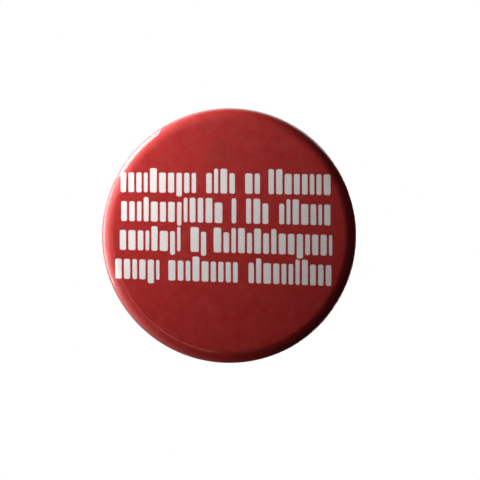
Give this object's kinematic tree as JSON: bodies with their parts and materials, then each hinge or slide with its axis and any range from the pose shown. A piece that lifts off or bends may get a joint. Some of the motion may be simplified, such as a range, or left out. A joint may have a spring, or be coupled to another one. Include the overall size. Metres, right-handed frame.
{
  "type": "button badge",
  "caption": "Round glossy button badge with a printed disc under clear film, a tinplate shell and back ring, and a spring-wire pin that is pulled out to pass through cloth.",
  "frame": {"origin": "centre of the plane that the back of the rim lies in, where the badge meets the cloth", "axes": "+Y out of the back towards the wearer, -Y out of the printed face, +Z the top of the print, +X to the right seen from the front"},
  "size_m": [0.0572, 0.0067, 0.0572],
  "materials": {
    "clear_film": "clear gloss polyester film",
    "red_printed_paper": "red offset print with white ink-free shapes",
    "tinplate": "bright rolled tinplate",
    "spring_wire": "bright nickel-plated spring wire"
  },
  "bodies": {
    "badge": {"clear_film": "clear_film", "printed_disc": "red_printed_paper", "front_shell": "tinplate", "back_ring": "tinplate", "pin_spring": "spring_wire"},
    "needle": {"pin_needle": "spring_wire"}
  },
  "joints": [
    {"name": "pin_open", "type": "hinge", "parent": "badge", "child": "needle", "pos_m": [-0.02049, -0.00275, 0], "axis": [0, 0, 1], "range_deg": [-4, 40], "stiffness_Nm_per_rad": 0.02}
  ]
}
